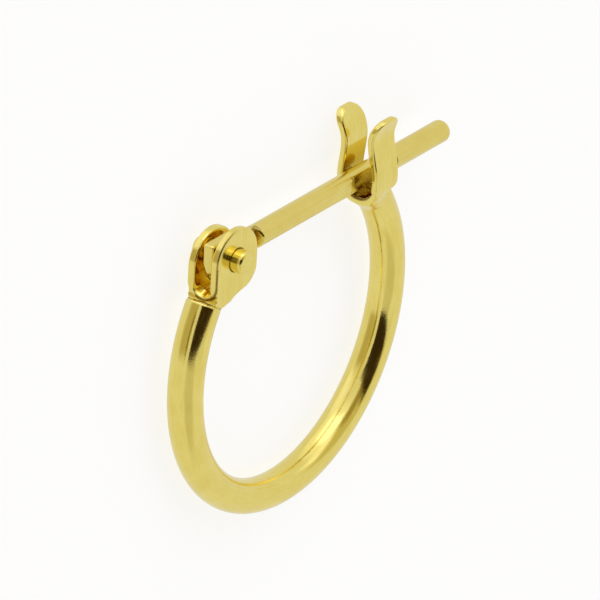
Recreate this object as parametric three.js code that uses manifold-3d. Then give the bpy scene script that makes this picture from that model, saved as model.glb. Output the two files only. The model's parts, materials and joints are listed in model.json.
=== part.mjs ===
// A small hinged hoop earring in polished yellow gold: a round tube bent to a hoop, with a clevis bracket
// soldered to one end and a two-armed spring catch to the other. A straight ear post turns on a pin in the
// clevis, passes through the ear and snaps down between the arms of the catch.
//
// Millimetres. The pieces are drawn in the hoop's own plane, with the middle of its ring at the origin:
// X runs from the hinge to the catch, Y up to the ear post, and Z across the hoop's thickness. At the end
// the whole earring is turned to lie as it would on a table, on its lower (-Z) side.

import * as THREE from "three";
import { ConvexGeometry } from "three/addons/geometries/ConvexGeometry.js";
import { ConvexHull } from "three/addons/math/ConvexHull.js";
import { mergeVertices } from "three/addons/utils/BufferGeometryUtils.js";
import Module from "manifold-3d";

const wasm = await Module();
wasm.setup();

// ---- Driving dimensions --------------------------------------------------------------------------------

// The hoop: a round tube on an arc that starts at the hinge and runs under the ear to the catch.
const TUBE = { radius: 0.75, bend: 7.15, hingeDeg: 149.3, catchDeg: 35.5, sides: 24, steps: 56 };

// The hinge pin stands across the clevis, with its ends a little proud of both ears.
const PIN = { x: -5.0, y: 5.44, radius: 0.5, reach: 1.25, edge: 0.08, play: 0.03, sides: 32 };

// The clevis: a strip of sheet folded to a U, so that its two arms make the ears of the hinge.
const CLEVIS = {
  sheet: 0.34,
  slot: 0.8,
  foldBottom: 3.91,
  foldRadius: 0.38,
  left: -6.36,
  right: -3.61,
  lowerEarDrop: 0.3,
  waistY: 4.8,
  waistRadius: 0.89,
};

// The ear post: round wire with a flattened tang that turns in the clevis.
const POST = { radius: 0.49, startX: -3.5, tipX: 10.75, tipRound: 0.3, sides: 32 };
const TANG = {
  endX: -6.1,
  halfHeight: 0.87,
  flareX: -4.7,
  toX: -3.68,
  lowFace: -0.19,
  highFace: 0.33,
  edge: 0.1,
  swing: 1.14,
  swingEdge: 0.22,
};
const NECK = { fromX: -4.6, toX: -3.2, halfHeight: 0.42 };

// Cuts across the upper side of the post, each down to a height above its axis at both its ends: the
// thinned wire beside the clevis and the ramp of its shoulder, a shallow flat that deepens towards the
// catch, and the notch that passes the catch's arms.
const THINNED_CUT = { fromX: -4.5, toX: -3.1, fromHeight: 0.06, toHeight: 0.06 };
const SHOULDER_CUT = { fromX: -3.12, toX: -2.75, fromHeight: 0.06, toHeight: 0.5 };
const FLAT_CUT = { fromX: -0.6, toX: 3.65, fromHeight: 0.5, toHeight: 0.36 };
const NOTCH_CUT = { fromX: 3.65, toX: 6.75, fromHeight: 0.29, toHeight: 0.29 };

// The catch: a strip of sheet bent to a U with two flared arms. Each row of the bend is a point of the
// strip's middle line: its distance from the hoop's plane on each side, and its height.
const CATCH = {
  sheet: 0.32,
  left: 4.45,
  right: 6.04,
  neckLeft: 4.62,
  neckRight: 5.6,
  neckY: 4.3,
  shoulderY: 4.78,
  shoulderRadius: 0.35,
  tipY: 8.08,
  tipRadius: 0.5,
  samples: 30,
};
const CATCH_ARM_BELOW = [
  { out: 1.26, up: 8.12 },
  { out: 1.06, up: 7.72 },
  { out: 0.85, up: 7.28 },
  { out: 0.77, up: 6.85 },
  { out: 0.79, up: 6.35 },
  { out: 0.85, up: 5.85 },
  { out: 0.88, up: 5.35 },
  { out: 0.8, up: 4.86 },
  { out: 0.48, up: 4.44 },
];
const CATCH_ARM_ABOVE = [
  { out: 0.48, up: 4.44 },
  { out: 0.8, up: 4.86 },
  { out: 0.87, up: 5.35 },
  { out: 0.81, up: 5.9 },
  { out: 0.7, up: 6.4 },
  { out: 0.61, up: 6.85 },
  { out: 0.57, up: 7.25 },
  { out: 0.66, up: 7.65 },
  { out: 0.86, up: 8.12 },
];
const CATCH_FOLD = { out: 0, up: 4.3 };

// Where solder spreads from the tube's cut ends: points on each strip, with half the thickness there.
const HINGE_SOLDER_OUTER = [
  { x: -6, y: 3.96, half: 0.25 },
  { x: -5.3, y: 3.96, half: 0.25 },
];
const HINGE_SOLDER_INNER = [
  { x: -6.2, y: 4.6, half: 0.73 },
  { x: -3.7, y: 4.6, half: 0.73 },
  { x: -3.87, y: 4.2, half: 0.73 },
  { x: -4.2, y: 3.97, half: 0.7 },
  { x: -4.6, y: 3.82, half: 0.66 },
];
const CATCH_SOLDER = [
  { x: 4.8, y: 4.3, half: 0.3 },
  { x: 5.6, y: 4.3, half: 0.3 },
];

const GOLD = { color: 0xd9b95c, roughness: 0.18, metalness: 1 };
const CURVE_SEGMENTS = 10;
const SPARE = 1; // how far a cutting body runs past what it cuts
const SOLDER_INSET = 0.01; // how far inside the tube's wall a solder joint starts
const INNER_HALF = 0.2; // cosine of the turn at which the inner half of the tube's end begins

// ---- Solids and meshes ---------------------------------------------------------------------------------

// A closed geometry as a manifold-3d solid, for joining and cutting.
function solidOf(geometry) {
  const bare = geometry.index ? geometry.toNonIndexed() : geometry.clone();
  bare.deleteAttribute("normal");
  bare.deleteAttribute("uv");
  const merged = mergeVertices(bare, 1e-4);
  return new wasm.Manifold(
    new wasm.Mesh({
      numProp: 3,
      vertProperties: merged.getAttribute("position").array,
      triVerts: new Uint32Array(merged.index.array),
    }),
  );
}

function meshOf(solid, name) {
  const data = solid.getMesh();
  const geometry = new THREE.BufferGeometry();
  geometry.setAttribute("position", new THREE.BufferAttribute(data.vertProperties, 3));
  geometry.setIndex(new THREE.BufferAttribute(data.triVerts, 1));
  geometry.computeVertexNormals();
  const mesh = new THREE.Mesh(geometry, new THREE.MeshStandardMaterial(GOLD));
  mesh.name = name;
  return mesh;
}

// An outline in the X-Y plane, given thickness from lowZ to highZ.
function plate(outline, lowZ, highZ) {
  const settings = { depth: highZ - lowZ, bevelEnabled: false, curveSegments: CURVE_SEGMENTS };
  return solidOf(new THREE.ExtrudeGeometry(outline, settings).translate(0, 0, lowZ));
}

// A cross-section, drawn as distance from the hoop's plane and height, run along X from lowX to highX.
function barAlongX(section, lowX, highX) {
  const settings = { depth: highX - lowX, bevelEnabled: false, curveSegments: CURVE_SEGMENTS };
  const geometry = new THREE.ExtrudeGeometry(section, settings);
  return solidOf(geometry.rotateY(Math.PI / 2).translate(lowX, 0, 0));
}

// A round bar with an edge radius at one or both ends: rows of radius and place along its axis (+Y).
function turned(radius, low, high, lowEdge, highEdge, sides) {
  const profile = [new THREE.Vector2(0, low)];
  const corner = (edge, axisPlace, fromDeg, toDeg) => {
    const turns = edge > 0 ? 3 : 0;
    for (let i = 0; i <= turns; i++) {
      const angle = THREE.MathUtils.degToRad(fromDeg + ((toDeg - fromDeg) * i) / Math.max(turns, 1));
      profile.push(
        new THREE.Vector2(radius - edge + edge * Math.cos(angle), axisPlace + edge * Math.sin(angle)),
      );
    }
  };
  corner(lowEdge, low + lowEdge, -90, 0);
  corner(highEdge, high - highEdge, 0, 90);
  profile.push(new THREE.Vector2(0, high));
  return new THREE.LatheGeometry(profile, sides);
}

// ---- The hoop tube -------------------------------------------------------------------------------------

class HoopArc extends THREE.Curve {
  getPoint(t, target = new THREE.Vector3()) {
    const sweep = 360 + TUBE.catchDeg - TUBE.hingeDeg;
    const angle = THREE.MathUtils.degToRad(TUBE.hingeDeg + sweep * t);
    return target.set(TUBE.bend * Math.cos(angle), TUBE.bend * Math.sin(angle), 0);
  }
}

function hoopTube() {
  const section = new THREE.Shape().absarc(0, 0, TUBE.radius, 0, 2 * Math.PI);
  const settings = { extrudePath: new HoopArc(), steps: TUBE.steps, curveSegments: TUBE.sides / 2 };
  return solidOf(new THREE.ExtrudeGeometry(section, settings));
}

// Solder between the tube's end at one angle of its arc and points of a strip. It starts just inside the
// tube's wall, from the whole ring of its end, or with innerOnly from the half towards the hoop's middle.
function solder(angleDeg, seat, innerOnly = false) {
  const radius = TUBE.radius - SOLDER_INSET;
  const angle = THREE.MathUtils.degToRad(angleDeg);
  const outward = new THREE.Vector3(Math.cos(angle), Math.sin(angle), 0);
  const points = seat.flatMap(({ x, y, half }) => [
    new THREE.Vector3(x, y, -half),
    new THREE.Vector3(x, y, half),
  ]);
  for (let i = 0; i < TUBE.sides; i++) {
    const turn = (2 * Math.PI * i) / TUBE.sides;
    if (innerOnly && Math.cos(turn) > INNER_HALF) continue;
    const point = outward.clone().multiplyScalar(TUBE.bend + radius * Math.cos(turn));
    points.push(point.setZ(radius * Math.sin(turn)));
  }
  return solidOf(new ConvexGeometry(points));
}

// ---- The clevis ----------------------------------------------------------------------------------------

// Half the width of the folded strip across the hoop.
const clevisHalf = CLEVIS.slot / 2 + CLEVIS.sheet;

// A U with rounded bottom corners: out to halfWidth on each side, down to bottom, and open at the top.
function uOutline(halfWidth, bottom, top, cornerRadius) {
  const shape = new THREE.Shape();
  shape.moveTo(-halfWidth, top);
  shape.lineTo(-halfWidth, bottom + cornerRadius);
  shape.absarc(-halfWidth + cornerRadius, bottom + cornerRadius, cornerRadius, Math.PI, 1.5 * Math.PI);
  shape.absarc(halfWidth - cornerRadius, bottom + cornerRadius, cornerRadius, 1.5 * Math.PI, 2 * Math.PI);
  shape.lineTo(halfWidth, top);
  shape.closePath();
  return shape;
}

// An ear seen from the side: a half-round top about topY, a straight left edge, and on the right a waist
// that sweeps in to the foot.
function earOutline(topY) {
  const { left, right, waistY, waistRadius, foldBottom } = CLEVIS;
  const shape = new THREE.Shape();
  shape.moveTo(right, topY);
  shape.absarc((left + right) / 2, topY, (right - left) / 2, 0, Math.PI);
  shape.lineTo(left, foldBottom - SPARE);
  shape.lineTo(right - waistRadius, foldBottom - SPARE);
  shape.lineTo(right - waistRadius, waistY - waistRadius);
  shape.absarc(right - waistRadius, waistY, waistRadius, -0.5 * Math.PI, 0);
  shape.closePath();
  return shape;
}

// The space between the ears, with a round bottom, that the tang turns in.
function clevisSlot() {
  const { sheet, slot, foldBottom, foldRadius, left, right } = CLEVIS;
  const inside = uOutline(slot / 2, foldBottom + sheet, PIN.y + (right - left) + SPARE, foldRadius);
  return barAlongX(inside, left - 2 * SPARE, right + 2 * SPARE);
}

function clevis() {
  const { sheet, foldBottom, foldRadius, left, right, lowerEarDrop } = CLEVIS;
  const outside = uOutline(clevisHalf, foldBottom, PIN.y + (right - left), foldRadius + sheet);
  const upperEar = plate(earOutline(PIN.y), 0, clevisHalf + SPARE);
  const lowerEar = plate(earOutline(PIN.y - lowerEarDrop), -clevisHalf - SPARE, 0);
  return barAlongX(outside, left - SPARE, right + SPARE).intersect(upperEar.add(lowerEar));
}

// ---- The hinge pin -------------------------------------------------------------------------------------

// The pin's round bar, or with play added the hole that it turns in.
function pinBar(play = 0) {
  const edge = play > 0 ? 0 : PIN.edge;
  const reach = PIN.reach + (play > 0 ? SPARE : 0);
  const bar = turned(PIN.radius + play, -reach, reach, edge, edge, PIN.sides);
  return solidOf(bar.rotateX(Math.PI / 2).translate(PIN.x, PIN.y, 0));
}

// ---- The catch -----------------------------------------------------------------------------------------

// The strip's section: its bent middle line, thickened by half a sheet to each side.
function catchSection() {
  const middle = new THREE.SplineCurve([
    ...CATCH_ARM_BELOW.map(({ out, up }) => new THREE.Vector2(out, up)),
    new THREE.Vector2(CATCH_FOLD.out, CATCH_FOLD.up),
    ...CATCH_ARM_ABOVE.map(({ out, up }) => new THREE.Vector2(-out, up)),
  ]);
  const edges = [1, -1].map((side) =>
    Array.from({ length: CATCH.samples + 1 }, (_, i) => {
      const along = middle.getTangentAt(i / CATCH.samples);
      const offset = new THREE.Vector2(-along.y, along.x).multiplyScalar((side * CATCH.sheet) / 2);
      return middle.getPointAt(i / CATCH.samples).add(offset);
    }),
  );
  return new THREE.Shape([...edges[0], ...edges[1].reverse()]);
}

// The strip seen from the side: wide arms with rounded tips, on a neck that is narrower at the fold.
function catchOutline() {
  const { left, right, neckLeft, neckRight, neckY, shoulderY, shoulderRadius, tipY, tipRadius } = CATCH;
  const shape = new THREE.Shape();
  shape.moveTo(neckLeft, neckY - SPARE);
  shape.lineTo(neckRight, neckY - SPARE);
  shape.lineTo(neckRight, shoulderY);
  shape.lineTo(right - shoulderRadius, shoulderY);
  shape.absarc(right - shoulderRadius, shoulderY + shoulderRadius, shoulderRadius, -0.5 * Math.PI, 0);
  shape.lineTo(right, tipY - tipRadius);
  shape.absarc(right - tipRadius, tipY - tipRadius, tipRadius, 0, 0.5 * Math.PI);
  shape.absarc(left + tipRadius, tipY - tipRadius, tipRadius, 0.5 * Math.PI, Math.PI);
  shape.lineTo(left, shoulderY + shoulderRadius);
  shape.quadraticCurveTo(left, shoulderY, neckLeft, neckY);
  shape.closePath();
  return shape;
}

function springCatch() {
  const reach = 2 * SPARE;
  const strip = barAlongX(catchSection(), CATCH.left - SPARE, CATCH.right + SPARE);
  return strip.intersect(plate(catchOutline(), -reach, reach));
}

// The tube, the clevis and the catch are soldered, so they are one solid.
function hoopFrame() {
  const hinge = clevis()
    .add(solder(TUBE.hingeDeg, HINGE_SOLDER_OUTER))
    .add(solder(TUBE.hingeDeg, HINGE_SOLDER_INNER, true))
    .subtract(clevisSlot())
    .subtract(pinBar(PIN.play));
  return hoopTube().add(hinge).add(springCatch()).add(solder(TUBE.catchDeg, CATCH_SOLDER));
}

// ---- The ear post --------------------------------------------------------------------------------------

// The flattened tang seen from the side: a square end, and a flare that narrows to the neck.
function tangOutline() {
  const { endX, halfHeight, flareX, toX } = TANG;
  const top = PIN.y + halfHeight;
  const bottom = PIN.y - halfHeight;
  const shape = new THREE.Shape();
  shape.moveTo(endX, top);
  shape.lineTo(endX, bottom);
  shape.lineTo(flareX, bottom);
  shape.quadraticCurveTo((flareX + toX) / 2, bottom, toX, PIN.y - NECK.halfHeight);
  shape.lineTo(toX, PIN.y + NECK.halfHeight);
  shape.quadraticCurveTo((flareX + toX) / 2, top, flareX, top);
  shape.closePath();
  return shape;
}

// Flattened metal with rounded edges from lowX to highX, reaching from bottom up to the top of the tang.
function tangBar(bottom, lowX, highX) {
  const { halfHeight, lowFace, highFace, edge } = TANG;
  const top = PIN.y + halfHeight;
  const shape = new THREE.Shape();
  shape.moveTo(-highFace, top - edge);
  shape.lineTo(-highFace, bottom + edge);
  shape.absarc(-highFace + edge, bottom + edge, edge, Math.PI, 1.5 * Math.PI);
  shape.absarc(-lowFace - edge, bottom + edge, edge, 1.5 * Math.PI, 2 * Math.PI);
  shape.absarc(-lowFace - edge, top - edge, edge, 0, 0.5 * Math.PI);
  shape.absarc(-highFace + edge, top - edge, edge, 0.5 * Math.PI, Math.PI);
  shape.closePath();
  return barAlongX(shape, lowX, highX);
}

// The tang is rounded about the pin below it, so that it clears the fold of the clevis as it turns.
function tang() {
  const { endX, halfHeight, toX, lowFace, highFace, swing, swingEdge } = TANG;
  const disc = turned(swing, lowFace, highFace, swingEdge, swingEdge, 2 * PIN.sides);
  const eye = solidOf(disc.rotateX(Math.PI / 2).translate(PIN.x, PIN.y, 0));
  const body = tangBar(PIN.y - halfHeight, PIN.x, toX + SPARE).add(tangBar(PIN.y, endX - SPARE, PIN.x));
  return body.add(eye).intersect(plate(tangOutline(), lowFace - SPARE, highFace + SPARE));
}

// The bar of metal that joins the tang to the round wire, inside the wire's section.
function neck() {
  const { fromX, toX, halfHeight } = NECK;
  const thickness = THINNED_CUT.fromHeight - TANG.lowFace;
  const bar = new THREE.BoxGeometry(toX - fromX, 2 * halfHeight, thickness);
  return solidOf(bar.translate((fromX + toX) / 2, PIN.y, TANG.lowFace + thickness / 2));
}

// What is cut away above a plane that runs along the post from one height above its axis to another.
function flatCut({ fromX, toX, fromHeight, toHeight }) {
  const side = new THREE.Shape([
    new THREE.Vector2(fromX, fromHeight),
    new THREE.Vector2(toX, toHeight),
    new THREE.Vector2(toX, SPARE),
    new THREE.Vector2(fromX, SPARE),
  ]);
  const settings = { depth: 2 * SPARE, bevelEnabled: false };
  const cutter = new THREE.ExtrudeGeometry(side, settings).rotateX(Math.PI / 2);
  return solidOf(cutter.translate(0, PIN.y + SPARE, 0));
}

function earPost() {
  const wire = turned(POST.radius, POST.startX, POST.tipX, 0, POST.tipRound, POST.sides);
  const round = solidOf(wire.rotateZ(-Math.PI / 2).translate(0, PIN.y, 0));
  const cuts = [THINNED_CUT, SHOULDER_CUT, FLAT_CUT, NOTCH_CUT].map(flatCut);
  return cuts
    .reduce((post, cutter) => post.subtract(cutter), round)
    .add(tang())
    .add(neck())
    .subtract(pinBar(PIN.play));
}

// ---- The earring at rest -------------------------------------------------------------------------------

// Turns a group about the origin so that it lies on the face of its own hull under the hoop's middle.
function layDown(group) {
  const hull = new ConvexHull().setFromObject(group);
  const downFaces = hull.faces.filter(({ normal }) => normal.z < 0);
  const heightUnderMiddle = (face) => face.constant / face.normal.z;
  const restingFace = downFaces.reduce((best, face) =>
    heightUnderMiddle(face) > heightUnderMiddle(best) ? face : best,
  );
  group.quaternion.setFromUnitVectors(restingFace.normal, new THREE.Vector3(0, 0, -1));
}

const earring = new THREE.Group();
earring.add(
  meshOf(hoopFrame(), "hoop_frame"),
  meshOf(pinBar(), "hinge_pin"),
  meshOf(earPost(), "ear_post"),
);
layDown(earring);

// The origin is the middle of the earring's box on the surface that it lies on.
const box = new THREE.Box3().setFromObject(earring, true);
const middle = box.getCenter(new THREE.Vector3());
earring.position.set(-middle.x, -middle.y, -box.min.z);

const part = new THREE.Group();
part.add(earring);
export default part;
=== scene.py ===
"""The looks of a small hinged hoop earring in polished yellow gold, lying on its side on a pale table.

The shapes are drawn in millimetres in the hoop's own plane, as in the CAD part: the middle of its ring is the
origin, X runs from the hinge to the catch, Y up to the ear post, and Z across the hoop's thickness. The sheet
metal, its solder and the post are signed distance fields whose skins are meshed, so that their edges are
rounded and their joints filleted. The tube and the hinge pin are built from rings of points.
"""

import json
import math

import bpy
import numpy as np
from mathutils import Matrix, Vector


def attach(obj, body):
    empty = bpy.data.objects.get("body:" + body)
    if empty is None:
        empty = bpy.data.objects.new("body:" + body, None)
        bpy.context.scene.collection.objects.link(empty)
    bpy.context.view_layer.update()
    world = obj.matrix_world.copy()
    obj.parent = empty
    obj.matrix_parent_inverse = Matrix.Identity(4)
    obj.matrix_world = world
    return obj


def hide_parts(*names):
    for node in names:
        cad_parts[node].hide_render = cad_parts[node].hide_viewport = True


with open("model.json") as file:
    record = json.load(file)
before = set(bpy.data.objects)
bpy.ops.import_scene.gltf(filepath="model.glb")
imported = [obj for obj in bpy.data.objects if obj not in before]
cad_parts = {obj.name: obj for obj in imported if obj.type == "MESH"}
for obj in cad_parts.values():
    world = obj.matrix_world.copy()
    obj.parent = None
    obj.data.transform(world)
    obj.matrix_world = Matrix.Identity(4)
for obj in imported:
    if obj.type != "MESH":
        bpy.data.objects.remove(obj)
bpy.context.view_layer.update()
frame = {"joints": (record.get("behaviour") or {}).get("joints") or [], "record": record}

MM = 0.001

# ---- Dimensions, in millimetres -------------------------------------------------------------------------
# Those that a comment calls finer are shaped for the eye, within a few tenths of the CAD part. The others are
# the CAD part's own.

TUBE_RADIUS, TUBE_BEND = 0.75, 7.15
HINGE_DEG, CATCH_DEG = 149.3, 35.5  # where the tube ends, as angles round the ring
TUBE_HINGE_EDGE, TUBE_CATCH_EDGE = 0.1, 0.01  # finer: how far its two ends are rounded

PIN_X, PIN_Y, PIN_RADIUS, PIN_REACH = -5.0, 5.44, 0.5, 1.25
PIN_EDGE = 0.16  # finer
PIN_PLAY, EAR_PLAY = 0.03, 0.012  # round the pin, in the tang and, finer, in the ears

EAR_SHEET, EAR_SLOT, FOLD_BOTTOM = 0.34, 0.8, 3.91
EAR_LEFT, EAR_RIGHT, EAR_DROP = -6.36, -3.61, 0.3  # the back ear is EAR_DROP shorter
EAR_WAIST_Y, EAR_WAIST_RADIUS = 4.8, 0.89
FOLD_Y = FOLD_BOTTOM + EAR_SHEET + EAR_SLOT / 2
EAR_INNER_EDGE, EAR_OUTER_EDGE = 0.09, 0.06  # finer
EAR_LEAN = -0.022  # finer: of the front ear, sideways
# Finer: at the bottom of the fold the rim is bevelled inwards, with an extra near its left face, and swollen.
RIM_BEVEL, RIM_BEVEL_LEFT, RIM_BEVEL_WIDTH = 0.09, 0.18, 0.39
RIM_SWELL, RIM_SWELL_Y, RIM_PLAIN_Y = 0.05, 4.2, 4.6

# Finer: the solder that carries the tube up into the ears, as (height over the tube's end, size). The outline
# joins the ears' own. The reach is that of the solid behind the rim, which has a half thickness and corners.
NECK_OUTLINE = [(0, 0.71), (0.15, 0.76), (0.35, 0.78), (0.53, 0.82), (0.75, 0.92), (1.0, 1.1), (1.1, 1.2)]
NECK_REACH = [(0, 0.71), (0.15, 0.76), (0.35, 0.83), (0.53, 0.95), (0.75, 1.15), (1.0, 1.4), (1.75, 2.5)]
NECK_HALF = [(0, 0.71), (0.12, 0.74)]
NECK_CORNER = [(0, 0.67), (0.15, 0.5), (0.5, 0.16)]
NECK_INNER, NECK_OUTLINE_HEIGHT, NECK_TOP_Y = 0.72, 1.05, 4.75
NECK_BACK, NECK_BACK_FROM = 0.13, 0.25  # how far it stays behind the rim, from this height up
ROOT_RADIUS, ROOT_DEPTH, ROOT_HEIGHT = 0.71, 0.3, 0.025  # the plug of solder in and on the tube's end

CATCH_SHEET, CATCH_LEFT, CATCH_RIGHT = 0.32, 4.45, 6.04
CATCH_NECK_LEFT, CATCH_NECK_RIGHT = 4.62, 5.6
CATCH_SHOULDER_Y, CATCH_SHOULDER_RADIUS = 4.78, 0.35
CATCH_TIP_Y, CATCH_TIP_RADIUS, CATCH_EDGE = 8.15, 0.6, 0.10  # finer
# The bend of the catch, as (out, up): down the lower arm, round the fold and up the upper arm.
CATCH_LOWER_ARM = [
    (1.26, 8.12), (1.06, 7.72), (0.85, 7.28), (0.77, 6.85), (0.79, 6.35),
    (0.85, 5.85), (0.88, 5.35), (0.80, 4.86), (0.48, 4.44),
]
CATCH_FOLD = [(0.0, 4.3)]
CATCH_UPPER_ARM = [
    (0.48, 4.44), (0.80, 4.86), (0.87, 5.35), (0.81, 5.90), (0.70, 6.40),
    (0.61, 6.85), (0.57, 7.25), (0.66, 7.65), (0.86, 8.12),
]
# Finer: the solder that carries the tube up into the catch, as (height over the tube's end, size): its outer
# and inner sides in the plane of the ring, its half thickness and its corners.
SOLDER_OUTER = [(0, 0.749), (0.15, 0.6), (0.35, 0.34), (0.55, 0.12), (0.8, -0.08), (1.3, -0.4)]
SOLDER_INNER = [(0, -0.749), (0.8, -0.88), (1.3, -0.9)]
SOLDER_HALF = [(0, 0.749), (0.5, 0.76), (1.0, 0.86), (1.3, 0.9)]
SOLDER_CORNER = [(0, 0.748), (0.3, 0.55), (0.8, 0.3)]
SOLDER_DEPTH, SOLDER_TOP = 0.3, 1.05

POST_RADIUS, POST_START, POST_TIP, POST_TIP_ROUND = 0.49, -3.5, 10.75, 0.3
# The flats across the post's upper side: a long shallow one, and the notch that passes the catch.
POST_FLATS = [  # (from x, to x, height at its start, height at its end)
    (-0.6, 3.65, 0.5, 0.36),
    (3.65, 6.75, 0.29, 0.29),
]
NOTCH_X = POST_FLATS[1][0]
SHOULDER_X, SHOULDER_SLOPE = -2.98, 0.45  # finer: where the full wire starts
THINNED_TO_X, THINNED_Z = -2.7, 0.06  # the wire is cut down to this height beside the shoulder
TANG_HALF, TANG_LOW, TANG_HIGH = 0.87, -0.19, 0.33
TANG_END, TANG_CORNER, TANG_EDGE = -6.2, 0.18, 0.14  # finer
TANG_SWING, TANG_SWING_EDGE = 1.17, 0.22  # finer: the round end that clears the fold as the post turns
TANG_FLARE, TANG_TO = -4.7, -3.68
# How the tang narrows to the neck, as (x, half height).
TANG_TAPER = [(TANG_FLARE, TANG_HALF), (-4.4, 0.82), (-4.1, 0.66), (-3.85, 0.5), (TANG_TO, 0.42)]
BRIDGE_X, BRIDGE_Z, BRIDGE_HALF = (-4.6, -3.2), -0.065, (0.42, 0.125)  # the neck between tang and wire

# ---- The hoop's frame in the part's frame ---------------------------------------------------------------

hinge = next(j for j in frame["joints"] if j["name"] == "post_hinge")
tip_mount = next(m for m in frame["record"]["mounts"] if m["name"] == "post_tip")
across = Vector(hinge["axis"]).normalized()
along = Vector(tip_mount["axis"]).normalized()
along = (along - across * along.dot(across)).normalized()
upward = across.cross(along)
ring_centre = Vector(hinge["pos_m"]) - (along * PIN_X + upward * PIN_Y) * MM
HOOP_TURN = Matrix((along, upward, across)).transposed()


def place(point_mm):
    """A point of the hoop's frame, in millimetres, as a point of the part's frame, in metres."""
    return ring_centre + HOOP_TURN @ Vector(point_mm) * MM


# ---- Distance fields ------------------------------------------------------------------------------------


def both(a, b, edge=1e-9):
    """What is inside a and b, with the edge between them rounded."""
    return np.minimum(np.maximum(a, b), -edge) + np.hypot(np.maximum(a + edge, 0), np.maximum(b + edge, 0))


def either(a, b, fillet=1e-9):
    """What is inside a or b, with the corner between them filled."""
    return -both(-a, -b, fillet)


def bar(across_1, across_2, half_1, half_2, corner):
    """A rounded rectangle about the origin of two coordinates."""
    q1, q2 = np.abs(across_1) - half_1 + corner, np.abs(across_2) - half_2 + corner
    return np.hypot(np.maximum(q1, 0), np.maximum(q2, 0)) + np.minimum(np.maximum(q1, q2), 0) - corner


def slab(value, low, high):
    return np.abs(value - (low + high) / 2) - (high - low) / 2


def pin_distance(x, y):
    return np.hypot(x - PIN_X, y - PIN_Y)


def rows_at(value, rows):
    """The second column of a table, read at a value of its first."""
    places, sizes = zip(*rows)
    return np.interp(value, places, sizes)


def fade(value, full, none):
    """1 up to full, 0 from none on."""
    return np.clip((none - value) / (none - full), 0, 1)


def tube_end(angle_deg, sign):
    """Coordinates at a cut end of the tube: height out of the end, and distance outwards from its middle."""
    angle = math.radians(angle_deg)
    outward = (math.cos(angle), math.sin(angle))
    onward = (-sign * outward[1], sign * outward[0])

    def local(x, y):
        dx, dy = x - TUBE_BEND * outward[0], y - TUBE_BEND * outward[1]
        return dx * onward[0] + dy * onward[1], dx * outward[0] + dy * outward[1]

    return local


hinge_end = tube_end(HINGE_DEG, -1)
catch_end = tube_end(CATCH_DEG, 1)

# ---- From a distance field to a mesh --------------------------------------------------------------------


def gradient(field, points, step=2e-4):
    parts = []
    for axis in range(3):
        shift = np.zeros(3)
        shift[axis] = step
        parts.append((field(*(points + shift).T) - field(*(points - shift).T)) / (2 * step))
    return np.stack(parts, 1)


def settle(field, points, rounds=4):
    """Moves points onto the skin of a field."""
    for _ in range(rounds):
        slope = gradient(field, points)
        size = np.maximum((slope**2).sum(1), 0.05)
        move = (field(*points.T) / size)[:, None] * slope
        points = points - np.clip(move, -0.05, 0.05)
    return points


def skin_points(value, grid, inside):
    """One point in each cell that the skin crosses, amid its crossings, and the points' numbers by cell."""
    cells = tuple(n - 1 for n in inside.shape)

    def corner(array, i, j, k):
        return array[i : i + cells[0], j : j + cells[1], k : k + cells[2]]

    corners = [(i, j, k) for i in (0, 1) for j in (0, 1) for k in (0, 1)]
    filled = sum(corner(inside, *c).astype(np.int8) for c in corners)
    crossed = (filled > 0) & (filled < 8)
    number = np.full(cells, -1)
    number[crossed] = np.arange(crossed.sum())
    total = np.zeros((crossed.sum(), 3))
    count = np.zeros(crossed.sum())
    for a in corners:
        for axis in range(3):
            if a[axis]:
                continue
            b = tuple(1 if n == axis else a[n] for n in range(3))
            va, vb = corner(value, *a)[crossed], corner(value, *b)[crossed]
            cut = (va < 0) != (vb < 0)
            share = np.where(cut, va / np.where(cut, va - vb, 1), 0)[:, None]
            pa, pb = corner(grid, *a)[crossed], corner(grid, *b)[crossed]
            total += np.where(cut[:, None], pa + (pb - pa) * share, 0)
            count += cut
    return total / count[:, None], number


def skin(field, low, high, step):
    """The skin of a field inside a box as points and quads, one quad round each grid edge that it crosses."""
    axes = [np.arange(a, b + step, step) for a, b in zip(low, high)]
    grid = np.stack(np.meshgrid(*axes, indexing="ij"), -1)
    value = field(*grid.reshape(-1, 3).T).reshape(grid.shape[:3])
    inside = value < 0
    points, number = skin_points(value, grid, inside)
    quads = []
    for axis in range(3):
        n1, n2 = (axis + 1) % 3, (axis + 2) % 3
        start = [slice(None)] * 3
        start[axis] = slice(0, -1)
        end = [slice(None)] * 3
        end[axis] = slice(1, None)
        change = inside[tuple(start)] != inside[tuple(end)]
        at = np.argwhere(change)
        within_1 = (at[:, n1] > 0) & (at[:, n1] < number.shape[n1])
        within_2 = (at[:, n2] > 0) & (at[:, n2] < number.shape[n2])
        at = at[within_1 & within_2]
        around = []
        for d1, d2 in ((1, 1), (0, 1), (0, 0), (1, 0)):
            cell = at.copy()
            cell[:, n1] -= d1
            cell[:, n2] -= d2
            around.append(number[tuple(cell.T)])
        quad = np.stack(around, 1)
        outward = inside[tuple(at.T)]
        quads.append(np.where(outward[:, None], quad, quad[:, ::-1]))
    return points, np.concatenate(quads)


def relax(field, points, quads, rounds=3):
    """Evens out the points along the skin."""
    for _ in range(rounds):
        total = np.zeros_like(points)
        count = np.zeros(len(points))
        for a, b in ((0, 1), (1, 2), (2, 3), (3, 0)):
            for i, j in ((a, b), (b, a)):
                np.add.at(total, quads[:, i], points[quads[:, j]])
                np.add.at(count, quads[:, i], 1)
        points = settle(field, 0.4 * points + 0.6 * total / count[:, None], 2)
    return settle(field, points)


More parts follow.
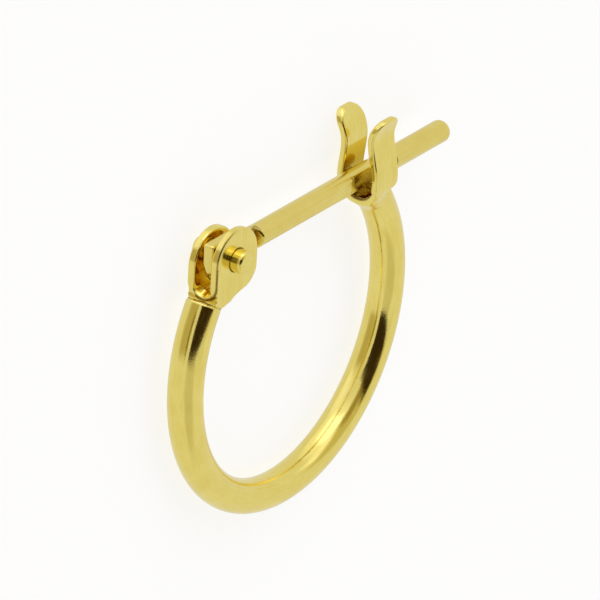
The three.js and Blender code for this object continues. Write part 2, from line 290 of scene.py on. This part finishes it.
def make_piece(name, points, faces, body, node, normals=None, shade_and_tarnish=None):
    """A smooth mesh object from points in the hoop's frame. It rides on a body and stands for a CAD node."""
    turn = np.array(HOOP_TURN)
    mesh = bpy.data.meshes.new(name)
    mesh.from_pydata((points @ turn.T * MM + np.array(ring_centre)).tolist(), [], faces)
    mesh.polygons.foreach_set("use_smooth", [True] * len(mesh.polygons))
    if normals is not None:
        mesh.normals_split_custom_set_from_vertices((normals @ turn.T).tolist())
    # Per-point darkening kept on the mesh: mostly painted shade in hollows and under parts, with darker
    # joints and edge lines.
    if shade_and_tarnish is not None:
        dark = mesh.attributes.new("shade_and_tarnish", "FLOAT", "POINT")
        dark.data.foreach_set("value", np.clip(shade_and_tarnish, 0, 1).astype(np.float32))
    mesh.update()
    piece = bpy.data.objects.new(name, mesh)
    bpy.context.scene.collection.objects.link(piece)
    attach(piece, body)
    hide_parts(node)
    return piece


def field_piece(name, field, shade_and_tarnish, low, high, step, body, node):
    points, quads = skin(field, low, high, step)
    points = relax(field, settle(field, points), quads)
    slope = gradient(field, points)
    normals = slope / np.linalg.norm(slope, axis=1)[:, None]
    return make_piece(name, points, quads.tolist(), body, node, normals, shade_and_tarnish(*points.T))


# ---- The clevis and its solder --------------------------------------------------------------------------


def fold_distance(y, z):
    """Distance from the middle plane between the ears, and round the middle of the fold below it."""
    return np.hypot(z, np.minimum(y - FOLD_Y, 0))


def ear_outline(x, y, z):
    """Distance in the plane of the ears from their outline: a round crown, and a waist at the lower right."""
    half = (EAR_RIGHT - EAR_LEFT) / 2
    top = np.where(z > 0, PIN_Y, PIN_Y - EAR_DROP)
    dx = x - (EAR_LEFT + EAR_RIGHT) / 2
    crown = np.where(y > top, np.hypot(dx, y - top) - half, np.abs(dx) - half)
    foot_x = EAR_RIGHT - EAR_WAIST_RADIUS
    waist = np.hypot(np.maximum(x - foot_x, 0), np.minimum(y - EAR_WAIST_Y, 0)) - EAR_WAIST_RADIUS
    return np.maximum(crown, waist)


def neck_outline(x, y):
    """Distance in the plane of the ears from the outline of the solder below them."""
    height, outward = hinge_end(x, y)
    reach = rows_at(height, NECK_OUTLINE)
    sides = np.maximum(-outward - reach, outward - NECK_INNER)
    neck = both(sides, height - NECK_OUTLINE_HEIGHT, edge=0.2)
    return both(neck, EAR_LEFT + NECK_BACK - x, edge=0.02)


def neck_solid(x, y, z, outline):
    """The solder below the ears, which grows from round at the tube's end to a rounded rectangle."""
    height, outward = hinge_end(x, y)
    reach, half, corner = (rows_at(height, rows) for rows in (NECK_REACH, NECK_HALF, NECK_CORNER))
    neck = bar(-outward - (reach - half) / 2, z, (reach + half) / 2, half, corner)
    neck = both(both(neck, -0.02 - height, edge=0.02), y - NECK_TOP_Y, edge=0.1)
    back = NECK_BACK * np.clip(height / NECK_BACK_FROM, 0, 1)
    return both(both(neck, EAR_LEFT + back - x, edge=0.02), outline, edge=0.1)


def rim_bevel(x, y, from_fold):
    """How far the slot is widened at its rim, at the bottom of the fold."""
    below = np.maximum(FOLD_Y - y, 0)
    low = np.clip(below / 0.4, 0, 1) * np.clip(below / np.maximum(from_fold, 0.1), 0, 1)
    return low * (RIM_BEVEL + RIM_BEVEL_LEFT * fade(x, EAR_LEFT, EAR_LEFT + RIM_BEVEL_WIDTH))


def clevis_field(x, y, z):
    z = z + EAR_LEAN * (x - PIN_X) * np.clip(z / 0.5, 0, 1)
    from_fold = fold_distance(y, z)
    slot = EAR_SLOT / 2 + rim_bevel(x, y, from_fold) - from_fold
    outer = from_fold - EAR_SLOT / 2 - EAR_SHEET - RIM_SWELL * fade(y, RIM_SWELL_Y, RIM_PLAIN_Y)
    outline = either(ear_outline(x, y, z), neck_outline(x, y), fillet=0.26)
    outline = np.maximum(outline, EAR_LEFT - x)
    ears = both(both(slot, outline, EAR_INNER_EDGE), outer, EAR_OUTER_EDGE)

    height, outward = hinge_end(x, y)
    root = both(np.hypot(outward, z) - ROOT_RADIUS, slab(height, -ROOT_DEPTH, ROOT_HEIGHT), edge=0.04)
    solid = either(ears, neck_solid(x, y, z, outline), fillet=0.03)
    solid = either(solid, root, fillet=0.13)
    solid = both(solid, slot, edge=0.02)
    return both(solid, PIN_RADIUS + EAR_PLAY - pin_distance(x, y), edge=0.025)


def clevis_shade_and_tarnish(x, y, z):
    """Dark at the tube's joint and in lines along the front ear's edge and the back ear's crown; painted
    shade under the fold, round the pin and in the slot.
    """
    height, _ = hinge_end(x, y)
    joint = fade(np.abs(height), 0.02, 0.06)
    outer = fold_distance(y, z) - EAR_SLOT / 2 - EAR_SHEET
    from_left = np.maximum(EAR_LEFT + 0.03 - x, 0) + np.maximum(x - EAR_LEFT - 0.05, 0)
    side = fade(np.hypot(from_left, outer + 0.01), 0.03, 0.09) * (z > -0.3) * (y < PIN_Y)
    crown = fade(np.hypot(ear_outline(x, y, z) + 0.02, outer + 0.02), 0.03, 0.08)
    crown = crown * (z > 0) * (y >= PIN_Y) * fade(x, -5.6, -5.0)
    # Painted shade: under the fold's rim, in rings round the pin's ends and deep in the slot.
    under = fade(np.abs(x - EAR_LEFT - NECK_BACK), 0.03, 0.07)
    under = under * fade(np.abs(outer - 0.02), 0.05, 0.1) * (y < RIM_SWELL_Y)
    round_pin = fade(pin_distance(x, y), 0.53, 0.57) * (np.abs(z) > 0.3)
    deep = fade(np.abs(z), 0.3, 0.4) * fade(-x, 5.6, 6.3)
    return 0.35 * joint + 0.9 * np.maximum(side, 0.8 * crown) + 0.9 * under + 0.7 * round_pin + 0.12 * deep


clevis = field_piece(
    "clevis", clevis_field, clevis_shade_and_tarnish, (-7.1, 2.9, -1.0), (-3.4, 7.1, 1.0), 0.03,
    "hoop", "hoop_frame",
)

# ---- The catch and its solder ---------------------------------------------------------------------------


def smooth_line(rows, samples, smoothing):
    """Points along a Catmull-Rom curve through the rows, smoothed along the curve a number of times."""
    rows = np.array(rows, float)
    rows = np.vstack([2 * rows[0] - rows[1], rows, 2 * rows[-1] - rows[-2]])
    t = np.linspace(0, 1, samples, endpoint=False)[:, None]
    pieces = []
    for p0, p1, p2, p3 in zip(rows, rows[1:], rows[2:], rows[3:]):
        square, cube = 2 * p0 - 5 * p1 + 4 * p2 - p3, 3 * p1 - p0 - 3 * p2 + p3
        pieces.append(0.5 * (2 * p1 + (p2 - p0) * t + square * t**2 + cube * t**3))
    line = np.vstack(pieces + [rows[-2][None]])
    for _ in range(smoothing):
        line[1:-1] = (line[:-2] + 2 * line[1:-1] + line[2:]) / 4
    return line


def line_distance(line, u, v):
    """Distance from points of a plane to a line of points."""
    start, step = line[:-1], np.diff(line, axis=0)
    best = np.full(u.shape, np.inf)
    for (su, sv), (du, dv) in zip(start, step):
        t = np.clip(((u - su) * du + (v - sv) * dv) / (du * du + dv * dv), 0, 1)
        best = np.minimum(best, (u - su - t * du) ** 2 + (v - sv - t * dv) ** 2)
    return np.sqrt(best)


class LineField:
    """Distance to a line in a plane, looked up with cubic steps in a table, which is quick and smooth."""

    def __init__(self, line, low, high, step):
        self.low, self.step = np.array(low), step
        axes = [np.arange(a, b + 3 * step, step) for a, b in zip(low, high)]
        u, v = np.meshgrid(*axes, indexing="ij")
        self.table = line_distance(line, u, v)

    @staticmethod
    def weights(t):
        return (
            (-t + 2 * t**2 - t**3) / 2,
            (2 - 5 * t**2 + 3 * t**3) / 2,
            (t + 4 * t**2 - 3 * t**3) / 2,
            (-(t**2) + t**3) / 2,
        )

    def __call__(self, u, v):
        fu, fv = (u - self.low[0]) / self.step, (v - self.low[1]) / self.step
        iu = np.clip(fu.astype(int), 1, self.table.shape[0] - 3)
        iv = np.clip(fv.astype(int), 1, self.table.shape[1] - 3)
        wu, wv = self.weights(fu - iu), self.weights(fv - iv)
        return sum(wu[a] * wv[b] * self.table[iu + a - 1, iv + b - 1] for a in range(4) for b in range(4))


catch_rows = CATCH_LOWER_ARM + CATCH_FOLD + [(-out, up) for out, up in CATCH_UPPER_ARM]
catch_line = smooth_line(catch_rows, 30, 60)
catch_distance = LineField(catch_line, (-1.7, 3.6), (1.7, 8.6), 0.02)


def inside_catch(y, z):
    """Distance from the middle of the catch's sheet, below zero outside the bend."""
    fold = int(np.argmin(catch_line[:, 1]))
    lower = np.interp(y, catch_line[fold::-1, 1], catch_line[fold::-1, 0])
    upper = np.interp(y, catch_line[fold:, 1], catch_line[fold:, 0])
    within = (y > catch_line[fold, 1]) & (-z < lower) & (-z > upper)
    return np.where(within, 1, -1) * catch_distance(-z, y)


def catch_outline(x, y):
    """Distance from the outline of the catch's strip: rounded tips, round shoulders and a narrower neck."""
    middle, half = (CATCH_LEFT + CATCH_RIGHT) / 2, (CATCH_RIGHT - CATCH_LEFT) / 2
    tips = bar(x - middle, np.maximum(y - CATCH_TIP_Y + 1, 0), half, 1, CATCH_TIP_RADIUS)
    shoulders = bar(x - middle, np.minimum(y - CATCH_SHOULDER_Y - 1, 0), half, 1, CATCH_SHOULDER_RADIUS)
    neck = both(slab(x, CATCH_NECK_LEFT, CATCH_NECK_RIGHT), y - CATCH_SHOULDER_Y - 0.3)
    return either(np.maximum(tips, shoulders), neck, fillet=0.1)


def catch_solder(x, y, z):
    """The solder below the catch, which grows from round at the tube's end into the neck of the strip."""
    height, outward = catch_end(x, y)
    grown = np.clip(height, 0, SOLDER_HALF[-1][0])
    outer, inner, half = (rows_at(grown, rows) for rows in (SOLDER_OUTER, SOLDER_INNER, SOLDER_HALF))
    corner = np.minimum(rows_at(grown, SOLDER_CORNER), (outer - inner) / 2 - 0.01)
    solder = bar(outward - (inner + outer) / 2, z, (outer - inner) / 2, half, corner)
    solder = both(solder, slab(height, -SOLDER_DEPTH, SOLDER_TOP), edge=0.05)
    solder = both(solder, CATCH_NECK_LEFT + 0.07 - x, edge=0.03)
    return both(solder, inside_catch(y, z) - CATCH_SHEET / 2 + 0.02)


def catch_field(x, y, z):
    strip = both(catch_distance(-z, y) - CATCH_SHEET / 2, catch_outline(x, y), CATCH_EDGE)
    return either(strip, catch_solder(x, y, z), fillet=0.16)


def catch_painted_shade(x, y, z):
    """Painted shade and the post's painted reflection inside the bend, most in its fold."""
    inner = fade(-inside_catch(y, z), -0.1, -0.04)
    return inner * (0.6 * fade(y, 4.8, 5.4) + 0.36 * fade(y, 5.3, 6.6))


catch = field_piece(
    "spring_catch", catch_field, catch_painted_shade, (4.2, 3.1, -1.5), (6.8, 8.4, 1.5), 0.03,
    "hoop", "hoop_frame",
)

# ---- The tube and the hinge pin -------------------------------------------------------------------------

RING_SIDES = 96


def rings_mesh(rings):
    """Quads between rings of points, and a fan that closes each end."""
    count, sides = rings.shape[:2]
    points = np.vstack([rings.reshape(-1, 3), rings[0].mean(0), rings[-1].mean(0)])
    quads, fans = [], []
    for i in range(count - 1):
        for j in range(sides):
            k = (j + 1) % sides
            quads.append((i * sides + j, i * sides + k, (i + 1) * sides + k, (i + 1) * sides + j))
    last = (count - 1) * sides
    for j in range(sides):
        k = (j + 1) % sides
        fans.append((count * sides, k, j))
        fans.append((count * sides + 1, last + j, last + k))
    return points, quads + fans


def rings_piece(name, rings, body, node):
    points, faces = rings_mesh(np.array(rings))
    return make_piece(name, points, faces, body, node)


def end_profile(radius, edge, turns, inner=8):
    """Rows of (place, radius) for a round bar's end: across its flat face, and round its edge."""
    rows = [(0.0, (radius - edge) * n / inner) for n in range(1, inner + 1)]
    for n in range(1, turns + 1):
        a = math.radians(90 * n / turns)
        rows.append((edge * (1 - math.cos(a)), radius - edge + edge * math.sin(a)))
    return rows


def hoop_tube():
    length = math.radians(360 + CATCH_DEG - HINGE_DEG) * TUBE_BEND
    rows = end_profile(TUBE_RADIUS, TUBE_HINGE_EDGE, 8)
    rows += [(s, TUBE_RADIUS) for s in np.linspace(2 * TUBE_HINGE_EDGE, length - 0.12, 420)]
    rows += [(length - s, r) for s, r in reversed(end_profile(TUBE_RADIUS, TUBE_CATCH_EDGE, 5))]
    rings = []
    for s, r in rows:
        angle = math.radians(HINGE_DEG) + s / TUBE_BEND
        ring = []
        for n in reversed(range(RING_SIDES)):
            turn = 2 * math.pi * n / RING_SIDES
            out = TUBE_BEND + r * math.cos(turn)
            ring.append((out * math.cos(angle), out * math.sin(angle), r * math.sin(turn)))
        rings.append(ring)
    return rings_piece("hoop_tube", rings, "hoop", "hoop_frame")


def hinge_pin():
    end = end_profile(PIN_RADIUS, PIN_EDGE, 9)
    straight = PIN_REACH - PIN_EDGE - 0.06
    rows = [(s - PIN_REACH, r) for s, r in end]
    rows += [(z, PIN_RADIUS) for z in np.linspace(-straight, straight, 12)]
    rows += [(PIN_REACH - s, r) for s, r in reversed(end)]
    turns = np.linspace(0, 2 * math.pi, RING_SIDES, endpoint=False)
    rings = [[(PIN_X + r * math.cos(a), PIN_Y + r * math.sin(a), z) for a in turns] for z, r in rows]
    return rings_piece("hinge_pin_round", rings, "hoop", "hinge_pin")


tube = hoop_tube()
pin = hinge_pin()

# ---- The ear post ---------------------------------------------------------------------------------------


def wire_field(x, v, z):
    """The round wire, with its rounded tip, its sloping shoulder, its flats and its thinned start."""
    rod = np.hypot(v, z) - POST_RADIUS
    wire = both(rod, x - POST_TIP, POST_TIP_ROUND)
    shoulder = SHOULDER_X - x + SHOULDER_SLOPE * (z - THINNED_Z)
    wire = both(wire, shoulder / math.hypot(1, SHOULDER_SLOPE), edge=0.09)
    for from_x, to_x, from_z, to_z in POST_FLATS:
        slope = (to_z - from_z) / (to_x - from_x)
        above = (z - from_z - slope * (x - from_x)) / math.hypot(1, slope)
        cut = both(-above, slab(x, from_x, to_x), edge=0.01)
        wire = both(wire, -cut, edge=0.03)
    thinned = both(rod, z - THINNED_Z, edge=0.05)
    thinned = both(thinned, slab(x, POST_START, THINNED_TO_X), edge=0.05)
    return either(wire, thinned, fillet=0.04)


def tang_field(x, v, z):
    """The flattened end in the clevis: square above and round below, so that it swings clear of the fold."""
    flat = slab(z, TANG_LOW, TANG_HIGH)
    block = bar(x - (TANG_END + TANG_FLARE) / 2, v, (TANG_FLARE - TANG_END) / 2, TANG_HALF, TANG_CORNER)
    taper = both(np.abs(v) - rows_at(x, TANG_TAPER), slab(x, TANG_FLARE - 0.3, TANG_TO), edge=0.05)
    plate = both(np.minimum(block, taper), flat, TANG_EDGE)
    swing = np.hypot(x - PIN_X, np.minimum(v, 0)) - TANG_SWING
    swing_edge = TANG_EDGE + (TANG_SWING_EDGE - TANG_EDGE) * fade(v, -0.25, 0)
    return np.where(x < PIN_X, np.maximum(plate, both(swing, flat, swing_edge)), plate)


def post_field(x, y, z):
    v = y - PIN_Y
    bridge = both(bar(v, z - BRIDGE_Z, *BRIDGE_HALF, corner=0.04), slab(x, *BRIDGE_X), edge=0.02)
    solid = either(tang_field(x, v, z), bridge, fillet=0.05)
    solid = either(solid, wire_field(x, v, z), fillet=0.05)
    return both(solid, PIN_RADIUS + PIN_PLAY - pin_distance(x, y), edge=0.03)


def post_painted_shade(x, y, z):
    """Painted shade in the corner over the shoulder, and a little at the foot of the notch."""
    pit = fade(np.abs(x - SHOULDER_X - 0.05), 0.1, 0.2) * fade(PIN_Y + 0.16 - y, 0.0, 0.22)
    pit = pit * fade(z, 0.3, 0.45) * (z > 0)
    foot = fade(np.abs(x - NOTCH_X), 0.02, 0.08) * fade(-z, -0.28, -0.2)
    return 0.6 * pit + 0.35 * foot


post = field_piece(
    "ear_post_wire", post_field, post_painted_shade, (-6.3, 4.4, -0.65), (10.95, 6.5, 0.65), 0.034,
    "post", "ear_post",
)

# ---- Shader nodes ---------------------------------------------------------------------------------------


class Graph:
    """Short ways to add nodes to a tree. Each value is a plain number or colour, or another node's output."""

    def __init__(self, tree):
        self.nodes, self.links = tree.nodes, tree.links

    def feed(self, socket, value):
        if isinstance(value, bpy.types.NodeSocket):
            self.links.new(value, socket)
        elif socket.type == "RGBA":
            socket.default_value = (*value, 1)
        else:
            socket.default_value = value

    def node(self, kind, inputs, output=0, operation=None):
        """The output of a new node, whose inputs are given by name or by place."""
        node = self.nodes.new("ShaderNode" + kind)
        if operation:
            node.operation = operation
        for socket, value in inputs.items():
            self.feed(node.inputs[socket], value)
        return node.outputs[output]

    def math(self, operation, *values):
        return self.node("Math", dict(enumerate(values)), operation=operation)

    def noise(self, vector, scale, detail, rough):
        inputs = {"Vector": vector, "Scale": scale, "Detail": detail, "Roughness": rough}
        return self.node("TexNoise", inputs, "Fac")

    def ramp(self, value, low, high, from_value, to_value):
        ends = {"From Min": low, "From Max": high, "To Min": from_value, "To Max": to_value}
        return self.node("MapRange", {"Value": value, **ends})

    def mix(self, share, first, second):
        return self.node("MixRGB", {"Fac": share, "Color1": first, "Color2": second})


def new_material(name):
    """A material, its graph and the inputs of its shader."""
    material = bpy.data.materials.new(name)
    material.use_nodes = True
    graph = Graph(material.node_tree)
    return material, graph, graph.nodes["Principled BSDF"].inputs


# ---- Gold -----------------------------------------------------------------------------------------------

BRIGHT_GOLD, PALER_GOLD = (0.93, 0.785, 0.225), (0.88, 0.73, 0.205)
WORN = (0.95, 0.91, 0.78)  # the share of its colour that gold keeps where it is dullest
# The colour that the painted shade and the darker joints take head on, and their tint at glancing angles.
SHADE_AND_STAIN, SHADE_AND_STAIN_GLANCING = (0.15, 0.062, 0.003), (0.3, 0.12, 0.01)  # head on, and tint at glancing angles
ROUND_LINES = (13.0, 8.0, 13.0)  # polishing lines round the hoop: per mm outwards, per radian, per mm across
RELIEF = 0.004 * MM


def round_the_hoop(graph, place_mm):
    """Coordinates in which the hoop's polishing lines run straight."""
    split = graph.nodes.new("ShaderNodeSeparateXYZ")
    graph.feed(split.inputs[0], place_mm)
    x = graph.math("SUBTRACT", split.outputs[0], ring_centre.x / MM)
    y = graph.math("SUBTRACT", split.outputs[1], ring_centre.y / MM)
    square = graph.math("ADD", graph.math("MULTIPLY", x, x), graph.math("MULTIPLY", y, y))
    radius, angle = graph.math("SQRT", square), graph.math("ARCTAN2", x, graph.math("MULTIPLY", y, -1))
    scaled = [graph.math("MULTIPLY", *pair) for pair in zip((radius, angle, split.outputs[2]), ROUND_LINES)]
    return graph.node("CombineXYZ", dict(enumerate(scaled)))


def lay_shade_and_stain(graph, shader, clean, speck):
    """The colour with the mesh's painted shade and darker joints laid over it, speckled, and dark from every
    side.
    """
    shade_and_tarnish = graph.nodes.new("ShaderNodeAttribute")
    shade_and_tarnish.attribute_name = "shade_and_tarnish"
    share = graph.math("MULTIPLY", shade_and_tarnish.outputs["Fac"], graph.ramp(speck, 0.35, 0.6, 0.75, 1.0))
    graph.feed(shader["Specular Tint"], graph.mix(share, (1, 1, 1), SHADE_AND_STAIN_GLANCING))
    return graph.mix(share, clean, SHADE_AND_STAIN)


def gold(name, base, roughness, wear, lines, grain, with_shade_and_tarnish):
    """Polished gold. Wear is how deep its polishing lines are, and lines how often they repeat in a
    millimetre along x, y and z, or None if they run round the hoop. Grain is how strong the mottling is."""
    material, graph, shader = new_material(name)
    shader["Metallic"].default_value = 1.0
    here = graph.nodes.new("ShaderNodeTexCoord").outputs["Object"]
    place_mm = graph.node("VectorMath", {0: here, "Scale": 1 / MM}, operation="SCALE")
    if lines is None:
        lined = round_the_hoop(graph, place_mm)
    else:
        lined = graph.node("VectorMath", {0: place_mm, 1: lines}, operation="MULTIPLY")
    streak = graph.noise(lined, 1.0, 3, 0.6)
    cloud = graph.noise(place_mm, 1.1, 4, 0.55)
    speck = graph.noise(place_mm, 14.0, 2, 0.6)

    dull = graph.math("ADD", graph.math("MULTIPLY", streak, 0.5), graph.math("MULTIPLY", cloud, 0.5))
    worn = tuple(value * share for value, share in zip(base, WORN))
    tone = graph.mix(graph.ramp(dull, 0.38, 0.62, 0, 1), base, worn)
    # Where asked, the mesh's painted shade darkens the colour.
    graph.feed(shader["Base Color"], lay_shade_and_stain(graph, shader, tone, speck) if with_shade_and_tarnish else tone)

    cloudy, streaky = graph.ramp(cloud, 0.35, 0.65, 0.8, 1.3), graph.ramp(streak, 0.35, 0.7, 0.85, 1.3)
    rough = graph.math("MULTIPLY", graph.math("MULTIPLY", cloudy, streaky), roughness)
    graph.feed(shader["Roughness"], rough)
    relief = graph.math("ADD", graph.math("MULTIPLY", streak, wear), graph.math("MULTIPLY", speck, grain))
    graph.feed(shader["Normal"], graph.node("Bump", {"Distance": RELIEF, "Height": relief}))
    return material


# The sheet and the post carry painted shade in their hollows; the tube and the pin don't.
sheet_gold = gold("polished_sheet_gold", BRIGHT_GOLD, 0.12, 0.25, (9, 0.5, 9), 0.08, with_shade_and_tarnish=True)
clevis.data.materials.append(sheet_gold)
catch.data.materials.append(sheet_gold)
tube.data.materials.append(gold("satin_tube_gold", BRIGHT_GOLD, 0.12, 0.4, None, 0.5, with_shade_and_tarnish=False))
post.data.materials.append(gold("drawn_post_gold", PALER_GOLD, 0.14, 1.3, (0.3, 9, 9), 0.2, with_shade_and_tarnish=True))
pin.data.materials.append(gold("polished_pin_gold", BRIGHT_GOLD, 0.14, 0.4, (7, 7, 2), 0.12, with_shade_and_tarnish=False))

# ---- Table ----------------------------------------------------------------------------------------------


def square_card(name, size):
    mesh = bpy.data.meshes.new(name)
    half = size / 2
    corners = [(-half, -half, 0), (half, -half, 0), (half, half, 0), (-half, half, 0)]
    mesh.from_pydata(corners, [], [(0, 1, 2, 3)])
    card = bpy.data.objects.new(name, mesh)
    bpy.context.scene.collection.objects.link(card)
    return card


def paper(name, shade, glow):
    """Matt paper with a faint grain, lit a little from behind."""
    material, graph, shader = new_material(name)
    here = graph.nodes.new("ShaderNodeTexCoord").outputs["Object"]
    grain = graph.noise(here, 900, 2, 0.5)
    graph.feed(shader["Base Color"], graph.ramp(grain, 0, 1, shade * 0.99, shade))
    shader["Roughness"].default_value = 0.95
    shader["Specular IOR Level"].default_value = 0.1
    shader["Emission Color"].default_value = (1, 1, 1, 1)
    shader["Emission Strength"].default_value = glow
    return material


# A backlit white table, for the camera only: the metal sees the studio's soft light on every side.
table = square_card("table", 1.2)
table.data.materials.append(paper("white_table", 0.35, 0.765))
table.visible_glossy = table.visible_diffuse = table.visible_shadow = False

# ---- Studio light ---------------------------------------------------------------------------------------

SKY = (0.78, 0.78, 0.78)

# Soft-edged panels, each laid over those before it. The compass turn and height of a panel's middle are in
# degrees. Its sides and ends, and how soft they are, are parts of its distance, and taper narrows it upwards.
PANELS = [  # (turn, height, sides, ends, softness of the sides, softness of the ends, colour, taper)
    # A faint grey reflector high behind the hinge.
    (-135, 47, (-0.75, 0.65), (-0.55, 0.42), (0.35, 0.35), (0.3, 0.2), (0.63, 0.62, 0.55), 0),
    # A bright softbox beside the post, and its spill.
    (90, 5, (-0.75, 0.62), (-1.3, 1.0), (0.45, 0.35), (0.4, 0.5), (1.0, 1.0, 1.02), 0),
    (92, 5, (-0.30, 0.27), (-0.60, 0.80), (0.14, 0.12), (0.3, 0.25), (1.55, 1.55, 1.9), 0),
    (62, 44, (-0.40, 0.36), (-0.30, 0.34), (0.2, 0.2), (0.2, 0.2), (1.08, 1.08, 1.15), 0),
    (115, -38, (-0.35, 0.40), (-0.5, 0.6), (0.2, 0.2), (0.3, 0.3), (1.0, 1.0, 1.15), 0),
    # The warm brown side of the room behind the camera, and a darker ledge across it.
    (162, -15, (-0.40, 0.40), (-0.9, 0.50), (0.12, 0.10), (0.6, 0.05), (0.50, 0.44, 0.27), 0),
    (170, 2, (-0.26, 0.24), (-0.09, 0.13), (0.04, 0.03), (0.05, 0.06), (0.22, 0.17, 0.06), 0),
    # A warm ceiling with a darker patch, and a dark card over the camera with a straight lower edge.
    (60, 76, (-0.6, 0.6), (-0.6, 0.6), (0.3, 0.3), (0.3, 0.3), (0.60, 0.55, 0.34), 0),
    (112, 62, (-0.38, 0.30), (-0.3, 0.36), (0.2, 0.1), (0.15, 0.2), (0.36, 0.29, 0.11), 0),
    (160, 40, (-0.38, 0.50), (-0.27, 2.4), (0.05, 0.10), (0.06, 0.5), (0.032, 0.018, 0.006), 0.18),
]

world = bpy.data.worlds.new("studio")
bpy.context.scene.world = world
world.use_nodes = True
studio = Graph(world.node_tree)
sky_direction = studio.nodes.new("ShaderNodeTexCoord").outputs["Generated"]


def part_along(direction):
    return studio.node("VectorMath", {0: sky_direction, 1: direction}, "Value", "DOT_PRODUCT")


def edge_between(value, start, end):
    """0 up to start, 1 from end on, smooth between them."""
    rising = start < end
    output = studio.ramp(value, min(start, end), max(start, end), 1 - rising, int(rising))
    output.node.interpolation_type = "SMOOTHSTEP"
    return output


def panel(sky, turn_deg, height_deg, sides, ends, side_soft, end_soft, color, taper):
    """Lays a row of PANELS over the sky."""
    turn, height = math.radians(turn_deg), math.radians(height_deg)
    facing = (math.cos(height) * math.cos(turn), math.cos(height) * math.sin(turn), math.sin(height))
    right = (-math.sin(turn), math.cos(turn), 0)
    up = (-math.sin(height) * math.cos(turn), -math.sin(height) * math.sin(turn), math.cos(height))
    ahead = part_along(facing)
    depth = studio.math("MAXIMUM", ahead, 0.02)
    u, v = (studio.math("DIVIDE", part_along(way), depth) for way in (right, up))
    width = studio.math("SUBTRACT", 1, studio.math("MULTIPLY", v, taper))
    u = studio.math("DIVIDE", u, studio.math("MAXIMUM", width, 0.05))
    cover = edge_between(ahead, 0.02, 0.05)
    for value, (low_end, high_end), (low_soft, high_soft) in ((u, sides, side_soft), (v, ends, end_soft)):
        cover = studio.math("MULTIPLY", cover, edge_between(value, low_end, low_end + low_soft))
        cover = studio.math("MULTIPLY", cover, edge_between(value, high_end, high_end - high_soft))
    return studio.mix(cover, sky, color)


sky = SKY
for row in PANELS:
    sky = panel(sky, *row)
studio.feed(studio.nodes["Background"].inputs["Color"], sky)
studio.nodes["Background"].inputs["Strength"].default_value = 1.0

# ---- Camera ---------------------------------------------------------------------------------------------

CAMERA_AIM = (0.74, 1.195, 0.022)  # in the hoop's frame
CAMERA_TURN_DEG, CAMERA_HEIGHT_DEG, CAMERA_ROLL_DEG = 150.02, 31.29, 107.63
CAMERA_DISTANCE, CAMERA_FIELD = 351.6, 24.838  # how far it is, and how wide its picture is there

camera_data = bpy.data.cameras.new("camera")
camera_data.sensor_width = 36
camera_data.lens = camera_data.sensor_width * CAMERA_DISTANCE / CAMERA_FIELD
camera_data.clip_start, camera_data.clip_end = 0.01, 10
camera = bpy.data.objects.new("camera", camera_data)
bpy.context.scene.collection.objects.link(camera)
bpy.context.scene.camera = camera
camera.matrix_world = (
    Matrix.Translation(place(CAMERA_AIM))
    @ Matrix.Rotation(math.radians(CAMERA_TURN_DEG + 90), 4, "Z")
    @ Matrix.Rotation(math.radians(90 - CAMERA_HEIGHT_DEG), 4, "X")
    @ Matrix.Rotation(math.radians(CAMERA_ROLL_DEG), 4, "Z")
    @ Matrix.Translation((0, 0, CAMERA_DISTANCE * MM))
)

bpy.context.scene.view_settings.view_transform = "Standard"
bpy.context.scene.cycles.glossy_bounces = bpy.context.scene.cycles.max_bounces = 16
